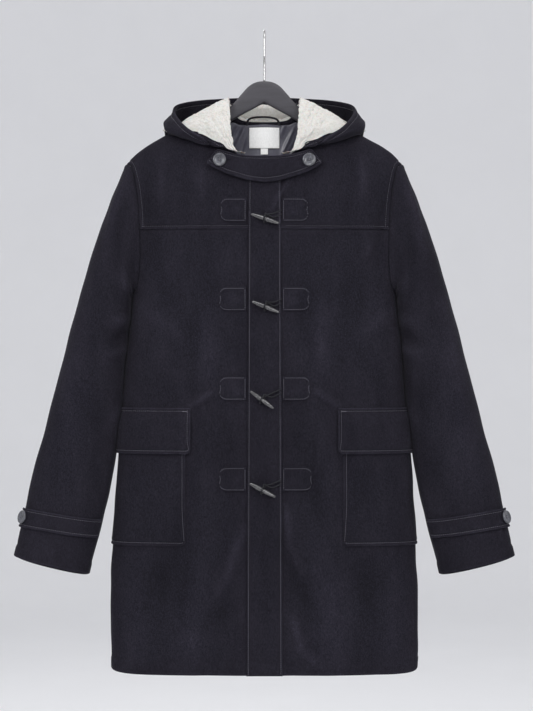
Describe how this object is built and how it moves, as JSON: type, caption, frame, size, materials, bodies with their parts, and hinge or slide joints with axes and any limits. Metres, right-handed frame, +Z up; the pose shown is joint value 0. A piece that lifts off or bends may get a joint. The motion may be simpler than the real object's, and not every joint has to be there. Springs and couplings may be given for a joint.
{
  "type": "hooded duffle coat on a shaped wooden hanger with a wire hook",
  "caption": "Dark navy wool duffle coat with a pile-lined hood, throat tab, horn toggles and flap pockets, hung closed on a shaped charcoal wooden hanger.",
  "frame": {"origin": "inside of the hook's crown, where the hanger rests on its rod, on the coat's centre plane", "axes": "+Z up, the way the coat hangs; -Y the way the coat's fronts face; +X towards the viewer's right, the wearer's left"},
  "size_m": [0.849, 0.2013, 1.0986],
  "materials": {
    "navy_wool": "napped",
    "cream_pile": "fleecy",
    "slate_satin": "satin",
    "white_tape": "matte",
    "dark_horn": "polished",
    "dark_cord": "matte",
    "charcoal_wood": "satin",
    "bright_wire": "polished"
  },
  "bodies": {
    "root": {"front_left": "navy_wool", "front_right": "navy_wool", "yoke_left": "navy_wool", "yoke_right": "navy_wool", "back": "navy_wool", "placket": "navy_wool", "sleeve_left_top": "navy_wool", "sleeve_left_under": "navy_wool", "cuff_lining_left": "slate_satin", "cuff_tab_left": "navy_wool", "cuff_button_left": "dark_horn", "sleeve_right_top": "navy_wool", "sleeve_right_under": "navy_wool", "cuff_lining_right": "slate_satin", "cuff_tab_right": "navy_wool", "cuff_button_right": "dark_horn", "hood": "navy_wool", "hood_facing": "navy_wool", "hood_pile": "cream_pile", "throat_tab": "navy_wool", "throat_button_left": "dark_horn", "throat_button_right": "dark_horn", "neck_lining": "slate_satin", "label": "white_tape", "size_tab": "white_tape", "hang_loop": "dark_cord", "patch_left_1": "navy_wool", "patch_right_1": "navy_wool", "toggle_1": "dark_horn", "toggle_loop_1": "dark_cord", "patch_left_2": "navy_wool", "patch_right_2": "navy_wool", "toggle_2": "dark_horn", "toggle_loop_2": "dark_cord", "patch_left_3": "navy_wool", "patch_right_3": "navy_wool", "toggle_3": "dark_horn", "toggle_loop_3": "dark_cord", "patch_left_4": "navy_wool", "patch_right_4": "navy_wool", "toggle_4": "dark_horn", "toggle_loop_4": "dark_cord", "pocket_left": "navy_wool", "flap_left": "navy_wool", "pocket_right": "navy_wool", "flap_right": "navy_wool", "hanger_body": "charcoal_wood", "hanger_hook": "bright_wire"}
  },
  "joints": []
}
